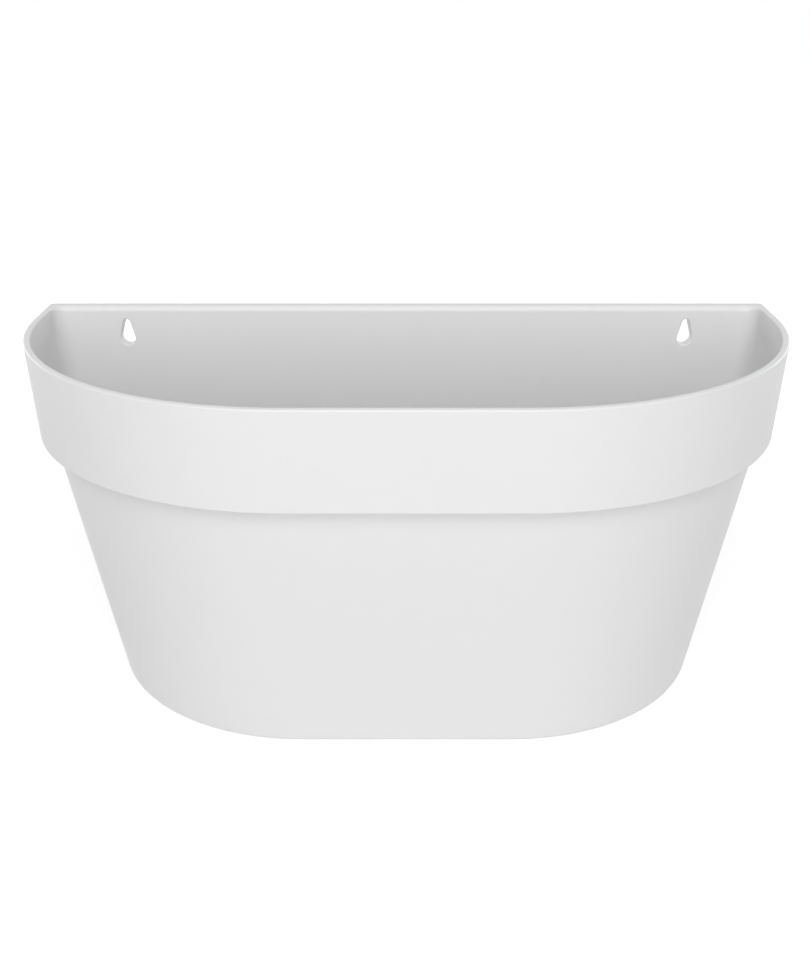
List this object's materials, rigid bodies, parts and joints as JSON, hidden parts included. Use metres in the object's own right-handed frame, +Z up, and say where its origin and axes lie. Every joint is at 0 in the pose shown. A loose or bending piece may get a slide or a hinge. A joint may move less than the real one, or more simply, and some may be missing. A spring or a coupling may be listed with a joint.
{
  "type": "wall planter",
  "caption": "Half-round plastic wall planter: flat back with keyholes, stepped band round the rim, a lift-out reservoir grid inside and push-in drain plugs underneath.",
  "frame": {"origin": "middle of the planter's bounding box, on the plane that the base stands on", "axes": "+Z up, +Y towards the wall that the flat back hangs against, +X to the right seen from the front"},
  "size_m": [0.4598, 0.2069, 0.222],
  "materials": {
    "shell": "fine-grained matte white moulding",
    "grid": "plain light grey moulding",
    "plug": "soft dark grey"
  },
  "bodies": {
    "shell": {"planter_shell": "shell"},
    "grid": {"reservoir_grid": "grid"},
    "plug_left": {"drain_plug_left": "plug"},
    "plug_right": {"drain_plug_right": "plug"}
  },
  "joints": [
    {"name": "grid_lift", "type": "slide", "parent": "shell", "child": "grid", "axis": [0, 0, 1], "range_m": [0, 0.22]},
    {"name": "left_plug_pull", "type": "slide", "parent": "shell", "child": "plug_left", "axis": [0, 0, -1], "range_m": [0, 0.025]},
    {"name": "right_plug_pull", "type": "slide", "parent": "shell", "child": "plug_right", "axis": [0, 0, -1], "range_m": [0, 0.025]}
  ]
}
